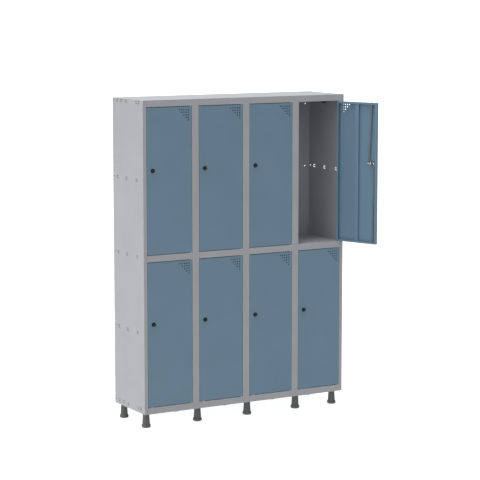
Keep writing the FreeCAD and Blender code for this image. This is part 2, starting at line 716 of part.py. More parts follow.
def coat_hook(column, level):
    """A J-shaped hook with a ball end, on a plate fixed to the compartment's right wall."""
    wall = right_wall(column)
    opening_top = OPENING_BOTTOMS[level] + OPENING_HEIGHT
    bottom = opening_top - HOOK_LOW_FROM_OPENING_TOP
    center_z = bottom + HOOK_RADIUS + HOOK_TUBE_RADIUS
    center_x = wall - HOOK_TUBE_RADIUS - HOOK_RADIUS
    plate_z0 = center_z - HOOK_TUBE_RADIUS
    plate = box(wall - HOOK_PLATE_THICKNESS, wall, HOOK_Y - HOOK_PLATE_HALF_WIDTH,
                HOOK_Y + HOOK_PLATE_HALF_WIDTH, plate_z0, plate_z0 + HOOK_PLATE_HEIGHT)
    corners = [edge for edge in plate.Edges if edge.BoundBox.XLength > HOOK_PLATE_THICKNESS / 2.0]
    plate = plate.makeFillet(HOOK_PLATE_HALF_WIDTH / 2.0, corners)
    bend = Part.makeTorus(HOOK_RADIUS, HOOK_TUBE_RADIUS, point(center_x, HOOK_Y, center_z), Y_AXIS)
    reach = 3 * HOOK_RADIUS
    bend = bend.common(box(center_x - reach, center_x + reach, HOOK_Y - reach, HOOK_Y + reach,
                           center_z - reach, center_z))
    stem = cylinder(point(center_x + HOOK_RADIUS, HOOK_Y, center_z), Z_AXIS, HOOK_TUBE_RADIUS,
                    HOOK_PLATE_HEIGHT / 2.0)
    nose = cylinder(point(center_x - HOOK_RADIUS, HOOK_Y, center_z), Z_AXIS, HOOK_TUBE_RADIUS,
                    HOOK_BALL_RADIUS)
    ball = Part.makeSphere(HOOK_BALL_RADIUS, point(center_x - HOOK_RADIUS, HOOK_Y,
                                                   center_z + HOOK_BALL_RADIUS + 2.0))
    return joined([plate, bend, stem, nose, ball])


def door_buffers(column, level):
    """Two rubber buffers on the free-edge stop lip of one opening."""
    x = column_left(column) + HALF_POST + STOP_LIP / 2.0
    low = OPENING_BOTTOMS[level]
    front = DOOR_BACK_Y + BUFFER_GAP
    length = FRAME_RETURN - SHEET - front
    return [
        cylinder(point(x, front, z), Y_AXIS, BUFFER_RADIUS, length)
        for z in (low + BUFFER_FROM_END, low + OPENING_HEIGHT - BUFFER_FROM_END)
    ]


def door_glide(column):
    """A low pad with a lip over the rail's face, which carries a lower door if it sags."""
    middle = column_left(column) + DOOR_LEFT + GLIDE_FROM_FREE_EDGE
    x0 = middle - GLIDE_WIDTH / 2.0
    x1 = middle + GLIDE_WIDTH / 2.0
    rail_top = OPENING_BOTTOMS["lower"]
    top = rail_top + GLIDE_HEIGHT
    pad = box(x0, x1, -GLIDE_LIP_THICKNESS, GLIDE_DEPTH, rail_top, top)
    lip = box(x0, x1, -GLIDE_LIP_THICKNESS, 0, rail_top - GLIDE_LIP_DROP, top)
    glide = joined([pad, lip])
    top_edges = [edge for edge in glide.Edges if abs(edge.BoundBox.ZMin - top) < 1e-6]
    return glide.makeChamfer(GLIDE_HEIGHT / 5.0, top_edges)


# ---------------------------------------------------------------- assembly
def root_nodes():
    places = compartments()
    feet = foot_places()
    middle = CABINET_WIDTH / 2.0
    nodes = {
        "left_side_panel": side_panel(0.0, SHEET),
        "right_side_panel": side_panel(CABINET_WIDTH - SHEET, CABINET_WIDTH - SHEET - SIDE_FLANGE),
        "back_panel_left": back_panel(0.0, middle, WALL_HOLE_FROM_SIDE),
        "back_panel_right": back_panel(middle, CABINET_WIDTH, CABINET_WIDTH - WALL_HOLE_FROM_SIDE),
        "top_panel": top_panel(),
        "base_panel": base_panel(),
        "front_posts": group([post(column) for column in range(COLUMNS + 1)]),
        "front_rails": group([rail(column, i) for i in range(3) for column in range(COLUMNS)]),
        "feet": group([foot(x, y) for x, y in feet]),
        "foot_studs": group([foot_stud(x, y) for x, y in feet]),
        "foot_plates": group([foot_plate(x, y) for x, y in feet]),
        "hinge_pins": group([pin for place in places for pin in hinge_pins(*place)]),
        "door_spacers": group([ring for place in places for ring in hinge_washers(*place)]
                              + [door_glide(column) for column in range(COLUMNS)]),
        "coat_hooks": group([coat_hook(*place) for place in places]),
        "door_buffers": group([buffer for place in places for buffer in door_buffers(*place)]),
    }
    for column in range(1, COLUMNS):
        nodes["partition_%d" % column] = partition(column)
    for level in LEVELS:
        floors = [compartment_floor(column, level) for column in range(COLUMNS)]
        nodes["%s_floors" % level] = group(floors)
    return nodes


def door_nodes(column, level):
    name = "door_%d_%s" % (column + 1, level)
    shapes = {
        "panel": group([door_pan(column, level), door_stiffener(column, level)]),
        "lock_case": lock_case(column, level),
        "turn_knob": turn_knob(column, level),
        "rod_up": lock_rod(column, level, 1),
        "rod_down": lock_rod(column, level, -1),
    }
    return {
        "%s_%s" % (name, part): placed(shape, column, level)
        for part, shape in shapes.items()
    }


def write_parts():
    nodes = root_nodes()
    for column, level in compartments():
        nodes.update(door_nodes(column, level))
    bounds = FreeCAD.BoundBox()
    for shape in nodes.values():
        bounds.add(shape.optimalBoundingBox(False))
    origin = point((bounds.XMin + bounds.XMax) / 2.0, (bounds.YMin + bounds.YMax) / 2.0, bounds.ZMin)
    os.makedirs("parts", exist_ok=True)
    for name, shape in nodes.items():
        shape.translate(-origin)
        shape.exportStep(os.path.join("parts", name + ".step"))
    print("origin in cabinet coordinates", origin.x, origin.y, origin.z)
    print("size", bounds.XLength, bounds.YLength, bounds.ZLength)
    print(len(nodes), "nodes")


write_parts()
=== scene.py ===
import json
import math

import bmesh
import bpy
from mathutils import Matrix, Vector


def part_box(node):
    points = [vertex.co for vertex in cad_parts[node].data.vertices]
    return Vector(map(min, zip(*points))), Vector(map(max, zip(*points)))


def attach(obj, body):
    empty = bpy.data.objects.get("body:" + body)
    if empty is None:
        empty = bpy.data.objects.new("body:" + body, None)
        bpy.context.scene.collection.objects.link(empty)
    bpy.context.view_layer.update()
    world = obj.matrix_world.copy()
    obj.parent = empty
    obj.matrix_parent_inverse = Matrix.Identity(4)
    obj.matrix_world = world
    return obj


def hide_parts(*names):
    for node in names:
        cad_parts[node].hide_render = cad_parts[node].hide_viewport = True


# Looks of the eight-door school locker. The sides, frame, top and doors are made again here
# with real bend radii and rounded edges, and the lock, rods, hooks, buffers and feet are
# modelled in full. The back, base, floors, partitions, hinge pins, door spacers and foot
# fixings keep their CAD shapes. All lengths are in millimetres and are turned into metres
# when a mesh is made.

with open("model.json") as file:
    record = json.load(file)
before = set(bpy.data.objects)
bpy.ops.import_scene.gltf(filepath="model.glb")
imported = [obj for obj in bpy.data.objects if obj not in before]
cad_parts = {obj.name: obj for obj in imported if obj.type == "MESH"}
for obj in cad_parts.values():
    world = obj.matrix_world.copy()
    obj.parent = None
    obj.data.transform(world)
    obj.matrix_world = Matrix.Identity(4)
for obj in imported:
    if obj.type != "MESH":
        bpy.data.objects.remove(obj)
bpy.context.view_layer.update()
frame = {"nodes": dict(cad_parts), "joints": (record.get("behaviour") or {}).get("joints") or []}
JOINTS = {joint["name"]: joint for joint in frame["joints"]}

# ---------------------------------------------------------------- dimensions of the CAD model
MM = 0.001
FRAME_LOW, FRAME_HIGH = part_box("front_posts")
CORNER = Vector((FRAME_LOW.x, FRAME_LOW.y, 0.0))
WIDTH = (FRAME_HIGH.x - FRAME_LOW.x) / MM
BODY_BOTTOM = FRAME_LOW.z / MM
WALL_TOP = FRAME_HIGH.z / MM
DEPTH = (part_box("back_panel_left")[1].y - FRAME_LOW.y) / MM
COLUMNS = 4
LEVELS = ("lower", "upper")
PITCH = WIDTH / COLUMNS
SHEET = 1.0
HALF_POST = 22.5
RAIL_FACE = 39.0
FRAME_RETURN = 22.0
STOP_LIP = 10.0
SIDE_FLANGE = 15.0
OPENING_HEIGHT = (WALL_TOP + SHEET - BODY_BOTTOM - 3 * RAIL_FACE) / 2.0
RAIL_BOTTOMS = [BODY_BOTTOM + i * (OPENING_HEIGHT + RAIL_FACE) for i in range(3)]
OPENING_BOTTOMS = [bottom + RAIL_FACE for bottom in RAIL_BOTTOMS[:2]]

# a door, measured from its pivot axis and its bottom edge
DOOR_LEFT = -291.0
DOOR_RIGHT = 6.0
DOOR_FRONT = -3.6
DOOR_BACK = 14.4
DOOR_HEIGHT = 863.0
DOOR_LIP = 12.0
DOOR_LEFT_IN_COLUMN = 24.0
PIVOT_IN_COLUMN = DOOR_LEFT_IN_COLUMN - DOOR_LEFT
PIVOT_DEPTH = SHEET - DOOR_FRONT
LOCK_X = DOOR_LEFT + 39.2
LOCK_Z = 495.0
ROD_Y = DOOR_FRONT + 11.5
CAM_Y = ROD_Y + 7.2
CAM_THROW = 20.0
UP_REACH = DOOR_HEIGHT - LOCK_Z
DOWN_REACH = LOCK_Z
UP_GUIDE = 1.0
DOWN_GUIDE = -11.5
ROD_RADIUS = 4.0
PIN_HOLE_RADIUS = 2.55
GUIDE_MARGIN = ROD_RADIUS + 0.4
KEEPER_MARGIN = ROD_RADIUS + 1.0

# bends and edges of the sheet metal, and how far cutters reach past its faces and into it
BEND_RADIUS = 0.9
BEND_STEPS = 4
EDGE_ROUND = 0.3
CUT_PAST = 1.0
CUT_DEPTH = 3.0
CUTTER_STEPS = 32
SHARP_ANGLE = math.radians(35.0)


# ---------------------------------------------------------------- mesh helpers
def smooth_shaded(mesh):
    """The same mesh, shaded smooth except across its hard edges."""
    mesh.shade_smooth()
    mesh.set_sharp_from_angle(angle=SHARP_ANGLE)
    return mesh


def finish_mesh(name, bm, materials):
    """A mesh from bm, scaled to metres, smooth-shaded except at its hard edges."""
    bmesh.ops.recalc_face_normals(bm, faces=bm.faces)
    bmesh.ops.scale(bm, vec=(MM, MM, MM), verts=bm.verts)
    mesh = bpy.data.meshes.new(name)
    bm.to_mesh(mesh)
    bm.free()
    for material in materials:
        mesh.materials.append(material)
    return smooth_shaded(mesh)


def add_object(name, mesh):
    made = bpy.data.objects.new(name, mesh)
    bpy.context.scene.collection.objects.link(made)
    return made


def evaluated(mesh, kind, settings):
    """The mesh after one modifier of the given kind."""
    worker = add_object("worker", mesh)
    modifier = worker.modifiers.new(kind.lower(), kind)
    for key, value in settings.items():
        setattr(modifier, key, value)
    graph = bpy.context.evaluated_depsgraph_get()
    made = bpy.data.meshes.new_from_object(worker.evaluated_get(graph))
    bpy.data.objects.remove(worker)
    return made


def flattened_normals(mesh):
    """Keeps wide flat faces flat where they run into a small bend or rounded edge."""
    settings = {"mode": "FACE_AREA", "weight": 100, "keep_sharp": True}
    return evaluated(mesh, "WEIGHTED_NORMAL", settings)


def cut(mesh, cutters):
    """The mesh with the closed shapes in the bmesh cutters taken out of it."""
    tool = add_object("cutter", finish_mesh("cutter", cutters, []))
    settings = {"object": tool, "operation": "DIFFERENCE", "solver": "EXACT"}
    made = evaluated(mesh, "BOOLEAN", settings)
    bpy.data.objects.remove(tool)
    return smooth_shaded(made)


def add_box(bm, low, high, rounding=0.0):
    """Adds a box between two corners, with all its edges rounded where a rounding is given."""
    low, high = Vector(low), Vector(high)
    made = bmesh.ops.create_cube(bm, size=1.0)["verts"]
    bmesh.ops.scale(bm, vec=high - low, verts=made)
    bmesh.ops.translate(bm, vec=(low + high) / 2.0, verts=made)
    if rounding:
        edges = {edge for vert in made for edge in vert.link_edges}
        bmesh.ops.bevel(bm, geom=list(edges), offset=rounding, segments=2, profile=0.5, affect="EDGES")


def add_ring_faces(bm, rings, material=0):
    """Quads between neighbouring rings of vertices."""
    count = len(rings[0])
    for lower, upper in zip(rings, rings[1:]):
        for i in range(count):
            j = (i + 1) % count
            face = bm.faces.new((lower[i], lower[j], upper[j], upper[i]))
            face.material_index = material


def add_closed_rings(bm, rings, material=0):
    """Quads between neighbouring rings of vertices, and a face across each end."""
    add_ring_faces(bm, rings, material)
    for ring in (rings[0], rings[-1]):
        face = bm.faces.new(ring)
        face.material_index = material


def add_lathe(bm, profile, axis, base, segments, flutes=0, flute_depth=0.0, material=0):
    """Turns (radius, height, fluted share) points around an axis through base."""
    axis = Vector(axis).normalized()
    across = axis.orthogonal().normalized()
    other = axis.cross(across)
    base = Vector(base)
    rings = []
    for radius, height, share in profile:
        ring = []
        for i in range(segments):
            angle = 2.0 * math.pi * i / segments
            wave = 0.5 - 0.5 * math.cos(flutes * angle)
            r = radius - flute_depth * share * wave
            spoke = across * math.cos(angle) + other * math.sin(angle)
            ring.append(bm.verts.new(base + axis * height + spoke * r))
        rings.append(ring)
    add_closed_rings(bm, rings, material)


def circle(steps):
    """(cosine, sine) pairs evenly spaced all the way round."""
    angles = [2.0 * math.pi * i / steps for i in range(steps)]
    return [(math.cos(angle), math.sin(angle)) for angle in angles]


def plain(points):
    """Lathe points with no flutes."""
    return [(radius, height, 0.0) for radius, height in points]


def fluted(points):
    """Lathe points whose flutes have their full depth."""
    return [(radius, height, 1.0) for radius, height in points]


def rounded_path(points, radius):
    """(place, direction) pairs along an open 2-D line whose corners are replaced by arcs."""
    points = [Vector(p) for p in points]
    out = [(points[0], (points[1] - points[0]).normalized())]
    for before, corner, after in zip(points, points[1:], points[2:]):
        inward = (corner - before).normalized()
        outward = (after - corner).normalized()
        turn = math.atan2(inward.cross(outward), inward.dot(outward))
        side = Vector((-inward.y, inward.x)) * (1.0 if turn > 0 else -1.0)
        start = corner - inward * (radius * math.tan(abs(turn) / 2.0))
        for step in range(BEND_STEPS + 1):
            angle = abs(turn) * step / BEND_STEPS
            spot = start + (inward * math.sin(angle) + side * (1.0 - math.cos(angle))) * radius
            out.append((spot, inward * math.cos(angle) + side * math.sin(angle)))
    out.append((points[-1], (points[-1] - points[-2]).normalized()))
    return out


def folded_sheet(points, start, end, axes):
    """A bent sheet whose middle line is a 2-D path, drawn along a straight run.

    axes names where the path's two coordinates and the run go, such as "xyz".
    """
    bm = bmesh.new()
    order = ["xyz".index(letter) for letter in axes]
    left, right = [], []
    for spot, direction in rounded_path(points, BEND_RADIUS):
        normal = Vector((-direction.y, direction.x)) * (SHEET / 2.0)
        left.append(spot + normal)
        right.append(spot - normal)
    rings = []
    for run in (start, end):
        ring = []
        for spot in left + right[::-1]:
            place = [0.0, 0.0, 0.0]
            for index, value in zip(order, (spot.x, spot.y, run)):
                place[index] = value
            ring.append(bm.verts.new(place))
        rings.append(ring)
    add_ring_faces(bm, rings)
    count = len(rings[0])
    for ring in rings:
        for i in range(count // 2 - 1):
            bm.faces.new((ring[i], ring[i + 1], ring[count - 2 - i], ring[count - 1 - i]))
    return bm


def cylinder_cutter(bm, base, axis, radius, length):
    add_lathe(bm, plain([(radius, 0.0), (radius, length)]), axis, base, CUTTER_STEPS)


# ---------------------------------------------------------------- materials
PIECE_SHIFT = 40.0
WORN_EDGE = (0.80, 0.985)
WORN_PATCHES = (0.46, 0.62)
SAMPLES_AT_EDGES = 4


def new_material(name):
    """A material with its node tree and its surface shader."""
    made = bpy.data.materials.new(name)
    made.use_nodes = True
    return made, made.node_tree, made.node_tree.nodes["Principled BSDF"]


def noise(tree, scale, detail, stretch=(1.0, 1.0, 1.0)):
    """Noise in the object's own coordinates, in features per metre, shifted for each object."""
    nodes, links = tree.nodes, tree.links
    coordinates = nodes.new("ShaderNodeTexCoord")
    mapping = nodes.new("ShaderNodeMapping")
    mapping.inputs["Scale"].default_value = stretch
    own = nodes.new("ShaderNodeObjectInfo")
    shift = nodes.new("ShaderNodeMath")
    shift.operation = "MULTIPLY"
    shift.inputs[1].default_value = PIECE_SHIFT
    texture = nodes.new("ShaderNodeTexNoise")
    texture.noise_dimensions = "4D"
    texture.inputs["Scale"].default_value = scale
    texture.inputs["Detail"].default_value = detail
    links.new(coordinates.outputs["Object"], mapping.inputs["Vector"])
    links.new(mapping.outputs["Vector"], texture.inputs["Vector"])
    links.new(own.outputs["Random"], shift.inputs[0])
    links.new(shift.outputs["Value"], texture.inputs["W"])
    return texture.outputs["Fac"]


def spread(tree, value, low, high, from_low=0.3, from_high=0.7):
    """A value stretched from its own range to another."""
    node = tree.nodes.new("ShaderNodeMapRange")
    node.inputs["From Min"].default_value = from_low
    node.inputs["From Max"].default_value = from_high
    node.inputs["To Min"].default_value = low
    node.inputs["To Max"].default_value = high
    tree.links.new(value, node.inputs["Value"])
    return node.outputs["Result"]


def blend_colours(tree, factor, first, second):
    """A mix of two colours; each is a colour or another node's output."""
    node = tree.nodes.new("ShaderNodeMix")
    node.data_type = "RGBA"
    tree.links.new(factor, node.inputs["Factor"])
    for socket, colour in ((node.inputs[6], first), (node.inputs[7], second)):
        if isinstance(colour, tuple):
            socket.default_value = (*colour, 1.0)
        else:
            tree.links.new(colour, socket)
    return node.outputs[2]


def relief(tree, shader, height, strength, distance):
    """Fine relief in the surface, with its depth in metres."""
    bump = tree.nodes.new("ShaderNodeBump")
    bump.inputs["Strength"].default_value = strength
    bump.inputs["Distance"].default_value = distance
    tree.links.new(height, bump.inputs["Height"])
    tree.links.new(bump.outputs["Normal"], shader.inputs["Normal"])


def edge_mask(tree, radius):
    """1 on worn outer edges and 0 on flats, broken up by noise."""
    nodes, links = tree.nodes, tree.links
    rounded = nodes.new("ShaderNodeBevel")
    rounded.samples = SAMPLES_AT_EDGES
    rounded.inputs["Radius"].default_value = radius
    geometry = nodes.new("ShaderNodeNewGeometry")
    match = nodes.new("ShaderNodeVectorMath")
    match.operation = "DOT_PRODUCT"
    links.new(rounded.outputs["Normal"], match.inputs[0])
    links.new(geometry.outputs["Normal"], match.inputs[1])
    edge = spread(tree, match.outputs["Value"], 1.0, 0.0, *WORN_EDGE)
    patches = spread(tree, noise(tree, 45.0, 5.0), 0.0, 1.0, *WORN_PATCHES)
    both = nodes.new("ShaderNodeMath")
    both.operation = "MULTIPLY"
    links.new(edge, both.inputs[0])
    links.new(patches, both.inputs[1])
    return both.outputs["Value"]


def scaled(colour, factor):
    """A colour made darker or paler."""
    return tuple(channel * factor for channel in colour)


def varied(tree, pattern, colour, dark, pale):
    """A colour that runs from a darker to a paler shade along a noise pattern."""
    return blend_colours(tree, spread(tree, pattern, 0.0, 1.0), scaled(colour, dark), scaled(colour, pale))


def powder_coat(name, colour, gloss):
    """Fine-textured powder coat: orange peel, slight cloudiness, and paler rubbed edges."""
    made, tree, shader = new_material(name)
    cloud = noise(tree, 5.0, 4.0)
    speckle = noise(tree, 420.0, 2.0)
    body = varied(tree, cloud, colour, 0.965, 1.035)
    body = blend_colours(tree, spread(tree, speckle, 0.0, 0.10), body, scaled(colour, 1.35))
    body = blend_colours(tree, edge_mask(tree, 0.0012), body, scaled(colour, 1.25))
    tree.links.new(body, shader.inputs["Base Color"])
    rubbed = noise(tree, 14.0, 5.0, stretch=(1.0, 1.0, 0.25))
    tree.links.new(spread(tree, rubbed, gloss - 0.05, gloss + 0.07), shader.inputs["Roughness"])
    relief(tree, shader, noise(tree, 650.0, 3.0), 0.22, 0.00012)
    return made


def moulded_plastic(name, colour, gloss, grain, specular=0.5):
    """Moulded plastic with a spark-eroded grain and a slight bloom."""
    made, tree, shader = new_material(name)
    shader.inputs["Specular IOR Level"].default_value = specular
    bloom = noise(tree, 60.0, 4.0)
    body = varied(tree, bloom, colour, 0.88, 1.14)
    body = blend_colours(tree, edge_mask(tree, 0.0010), body, scaled(colour, 1.9))
    tree.links.new(body, shader.inputs["Base Color"])
    tree.links.new(spread(tree, bloom, gloss - 0.06, gloss + 0.08), shader.inputs["Roughness"])
    relief(tree, shader, noise(tree, grain, 2.0), 0.35, 0.00008)
    return made


def plated_metal(name, colour, gloss, along=(1.0, 1.0, 1.0)):
    """Plated metal: drawn or turned marks, stains in the plating, darker spots."""
    made, tree, shader = new_material(name)
    shader.inputs["Metallic"].default_value = 1.0
    stain = noise(tree, 90.0, 5.0)
    marks = noise(tree, 1500.0, 2.0, stretch=along)
    body = varied(tree, stain, colour, 0.80, 1.12)
    tree.links.new(body, shader.inputs["Base Color"])
    tree.links.new(spread(tree, stain, gloss - 0.06, gloss + 0.10), shader.inputs["Roughness"])
    relief(tree, shader, marks, 0.18, 0.00005)
    return made


def nylon(name, colour):
    """Slightly waxy natural nylon."""
    made, tree, shader = new_material(name)
    shader.inputs["Subsurface Weight"].default_value = 0.08
    shader.inputs["Subsurface Radius"].default_value = (0.002, 0.002, 0.0015)
    haze = noise(tree, 240.0, 3.0)
    body = varied(tree, haze, colour, 0.92, 1.05)
    tree.links.new(body, shader.inputs["Base Color"])
    tree.links.new(spread(tree, haze, 0.38, 0.5), shader.inputs["Roughness"])
    return made


CABINET_GREY = (0.44, 0.445, 0.465)
DOOR_BLUE = (0.155, 0.264, 0.358)
cabinet_paint = powder_coat("cabinet_powder_coat", CABINET_GREY, 0.42)
door_paint = powder_coat("door_powder_coat", DOOR_BLUE, 0.40)
black_plastic = moulded_plastic("black_plastic", (0.007, 0.014, 0.020), 0.34, 1400.0, specular=0.3)
foot_plastic = moulded_plastic("foot_plastic", (0.126, 0.126, 0.128), 0.55, 1000.0)
rubber = moulded_plastic("rubber", (0.022, 0.022, 0.022), 0.80, 900.0)
zinc = plated_metal("zinc_plate", (0.58, 0.58, 0.57), 0.30)
drawn_steel = plated_metal("drawn_steel", (0.20, 0.205, 0.21), 0.36, along=(1.0, 1.0, 0.03))
nickel = plated_metal("nickel_plate", (0.46, 0.455, 0.44), 0.24)
chrome = plated_metal("chrome_plate", (0.92, 0.92, 0.92), 0.12)
blackened = plated_metal("blackened_steel", (0.05, 0.05, 0.055), 0.42)
washer_nylon = nylon("washer_nylon", (0.82, 0.81, 0.78))


# ---------------------------------------------------------------- placing pieces
def cabinet_piece(name, mesh, nodes, at=(0.0, 0.0, 0.0)):
    """A piece fixed to the cabinet; at is in cabinet millimetres."""
    made = add_object(name, mesh)
    made.location = CORNER + Vector(at) * MM
    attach(made, "cabinet")
    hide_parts(*nodes)


def door_names():
    return ["door_%d_%s" % (column + 1, level) for level in LEVELS for column in range(COLUMNS)]


def door_matrix(door):
    """A door's place from its pivot axis and bottom edge, turned as far as it stands open at rest."""
    swing = JOINTS[door + "_swing"]
    pivot = Vector(swing["pos_m"])
    pivot.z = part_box(door + "_panel")[0].z
    turned = Matrix.Rotation(math.radians(-swing["range_deg"][0]), 4, "Z")
    return Matrix.Translation(pivot) @ turned


def door_piece(door, part, mesh, body, node):
    """A piece on one door, with its mesh measured from the pivot axis and the bottom edge."""
    made = add_object("%s_%s" % (door, part), mesh)
    made.matrix_world = door_matrix(door)
    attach(made, body)
    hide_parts(node)


# ---------------------------------------------------------------- cabinet shell
LANCE_Y = (83.0, 217.0, 336.0)
LANCE_Y_EXTRA = (48.0, 278.0)
LANCE_HALF_LENGTH = 11.0
LANCE_HALF_HEIGHT = 8.0
LANCE_SLIT = 3.0
LANCE_BOTTOM_INSET = 28.0
LANCE_TOP_INSET = 14.0
LANCE_ROWS = 5
LANCE_CUT_REACH = 2.0
JOINING_HOLE_Y = 382.0
JOINING_HOLE_RADIUS = 4.0


def lance_cutters(x0, x1, rows=range(LANCE_ROWS)):
    """Rows of bracket-shaped lances and joining holes of one outer side."""
    bm = bmesh.new()
    low = BODY_BOTTOM + LANCE_BOTTOM_INSET
    high = WALL_TOP + SHEET - LANCE_TOP_INSET
    for row in rows:
        z = low + row * (high - low) / (LANCE_ROWS - 1)
        ends = row in (0, LANCE_ROWS - 1)
        for y in LANCE_Y + (LANCE_Y_EXTRA if ends else ()):
            front, back = y - LANCE_HALF_LENGTH, y + LANCE_HALF_LENGTH
            bottom, top = z - LANCE_HALF_HEIGHT, z + LANCE_HALF_HEIGHT
            outline = [
                (front, bottom), (back, bottom), (back, top), (front, top),
                (front, top - LANCE_SLIT), (back - LANCE_SLIT, top - LANCE_SLIT),
                (back - LANCE_SLIT, bottom + LANCE_SLIT), (front, bottom + LANCE_SLIT),
            ]
            rings = [[bm.verts.new((x, py, pz)) for py, pz in outline] for x in (x0, x1)]
            add_closed_rings(bm, rings)
        cylinder_cutter(bm, (x0, JOINING_HOLE_Y, z), (1, 0, 0), JOINING_HOLE_RADIUS, x1 - x0)
    return bm


def side_wrap(sign):
    """One side with its front stile and its back flange, folded from one sheet."""
    half = SHEET / 2.0
    edge = 0.0 if sign > 0 else WIDTH
    path = [
        (edge + sign * (HALF_POST - half), FRAME_RETURN),
        (edge + sign * (HALF_POST - half), half),
        (edge + sign * half, half),
        (edge + sign * half, DEPTH - SHEET - half),
        (edge + sign * (SHEET + SIDE_FLANGE), DEPTH - SHEET - half),
    ]
    mesh = finish_mesh("side_wrap", folded_sheet(path, BODY_BOTTOM, WALL_TOP, "xyz"), [cabinet_paint])
    middle = edge + sign * half
    cutters = lance_cutters(middle - LANCE_CUT_REACH, middle + LANCE_CUT_REACH)
    return flattened_normals(cut(mesh, cutters))


def build_shell():
    """The two sides with their front stiles, and the posts between the columns."""
    cabinet_piece("left_side_wrap", side_wrap(1), ["left_side_panel", "front_posts"])
    cabinet_piece("right_side_wrap", side_wrap(-1), ["right_side_panel"])
    half = SHEET / 2.0
    inner = HALF_POST - half
    path = [(-inner, FRAME_RETURN), (-inner, half), (inner, half), (inner, FRAME_RETURN)]
    mesh = finish_mesh("post", folded_sheet(path, BODY_BOTTOM, WALL_TOP, "xyz"), [cabinet_paint])
    mesh = flattened_normals(mesh)
    for column in range(1, COLUMNS):
        at = (column * PITCH, 0.0, 0.0)
        cabinet_piece("post_%d" % column, mesh, ["front_posts"], at)


SLOT_STEPS = 18


def slot_range(offset, reach, sign, margin):
    """Side to side room that a rod needs at its guide, measured from the lock axis."""
    start_tilt = (CAM_THROW * sign - offset) / reach
    end_tilt = -offset / (reach - CAM_THROW)
    places = []
    for step in range(SLOT_STEPS + 1):
        angle = math.radians(90.0 * step / SLOT_STEPS)
        tilt = start_tilt + (end_tilt - start_tilt) * step / SLOT_STEPS
        places.append(sign * CAM_THROW * math.cos(angle) - (reach - CAM_THROW * math.sin(angle)) * tilt)
    return min(places) - margin, max(places) + margin


UP_SLOT = (UP_GUIDE, UP_REACH, 1)
DOWN_SLOT = (DOWN_GUIDE, DOWN_REACH, -1)


def add_slot_cutter(bm, slot, margin, lock_x, rod_y, z0, z1):
    """A cutter for the slot that a rod passes through, from height z0 to z1."""
    low, high = slot_range(*slot, margin)
    add_box(bm, (lock_x + low, rod_y - margin, z0), (lock_x + high, rod_y + margin, z1))


def rail_mesh(index):
    """A cross rail for one column, with its rod keepers and pivot holes."""
    half = SHEET / 2.0
    z0 = RAIL_BOTTOMS[index]
    z1 = min(z0 + RAIL_FACE, WALL_TOP)
    x0, x1 = HALF_POST, PITCH - HALF_POST
    path = [(FRAME_RETURN, z0 + half), (half, z0 + half), (half, z1 - half), (FRAME_RETURN, z1 - half)]
    mesh = finish_mesh("rail", folded_sheet(path, x0, x1, "yzx"), [cabinet_paint])
    pierced = []
    if index > 0:
        pierced.append((UP_SLOT, z0 - CUT_PAST, z0 + CUT_DEPTH))
    if index < 2:
        pierced.append((DOWN_SLOT, z1 - CUT_DEPTH, z1 + CUT_PAST))
    cutters = bmesh.new()
    lock_x, rod_y = PIVOT_IN_COLUMN + LOCK_X, PIVOT_DEPTH + ROD_Y
    for slot, low, high in pierced:
        add_slot_cutter(cutters, slot, KEEPER_MARGIN, lock_x, rod_y, low, high)
        pin_hole = (PIVOT_IN_COLUMN, PIVOT_DEPTH, low)
        cylinder_cutter(cutters, pin_hole, (0, 0, 1), PIN_HOLE_RADIUS, CUT_PAST + CUT_DEPTH)
    return flattened_normals(cut(mesh, cutters))


def build_rails():
    """The cross rails of all columns, and the lips that the doors close against."""
    for index in range(3):
        mesh = rail_mesh(index)
        for column in range(COLUMNS):
            name = "rail_%d_%d" % (index + 1, column + 1)
            cabinet_piece(name, mesh, ["front_rails"], (column * PITCH, 0.0, 0.0))
    bm = bmesh.new()
    back, front = FRAME_RETURN, FRAME_RETURN - SHEET
    for low in OPENING_BOTTOMS:
        high = low + OPENING_HEIGHT
        for column in range(COLUMNS):
            x0 = column * PITCH + HALF_POST - SHEET
            x1 = (column + 1) * PITCH - HALF_POST + SHEET
            reach = SHEET + STOP_LIP
            add_box(bm, (x0, front, low), (x0 + reach, back, high), EDGE_ROUND)
            add_box(bm, (x1 - reach, front, low), (x1, back, high), EDGE_ROUND)
    mesh = flattened_normals(finish_mesh("stop_lips", bm, [cabinet_paint]))
    cabinet_piece("stop_lips", mesh, ["front_posts"])


TOP_EDGE_ROUND = 0.45
TOP_FLANGE_FRONT_GAP = 2.0
TOP_FLANGE_BACK_GAP = 4.0
TOP_FLANGE_CUT_PAST = 0.4


def build_top():
    """The top sheet with rounded edges, its back flanges, and its side flanges, pierced like the sides."""
    bm = bmesh.new()
    add_box(bm, (0.0, 0.0, WALL_TOP), (WIDTH, DEPTH, WALL_TOP + SHEET), TOP_EDGE_ROUND)
    low = WALL_TOP - SIDE_FLANGE
    front, back = FRAME_RETURN + TOP_FLANGE_FRONT_GAP, DEPTH - TOP_FLANGE_BACK_GAP
    for x in (SHEET, WIDTH - 2 * SHEET):
        add_box(bm, (x, front, low), (x + SHEET, back, WALL_TOP), EDGE_ROUND)
    inset = SIDE_FLANGE + 3 * SHEET
    for column in range(COLUMNS):
        x0, x1 = column * PITCH + inset, (column + 1) * PITCH - inset
        add_box(bm, (x0, DEPTH - 2 * SHEET, low), (x1, DEPTH - SHEET, WALL_TOP), EDGE_ROUND)
    mesh = finish_mesh("top_sheet", bm, [cabinet_paint])
    for x in (SHEET, WIDTH - 2 * SHEET):
        ends = x - TOP_FLANGE_CUT_PAST, x + SHEET + TOP_FLANGE_CUT_PAST
        mesh = cut(mesh, lance_cutters(*ends, rows=(LANCE_ROWS - 1,)))
    mesh = flattened_normals(mesh)
    cabinet_piece("top_sheet", mesh, ["top_panel"])


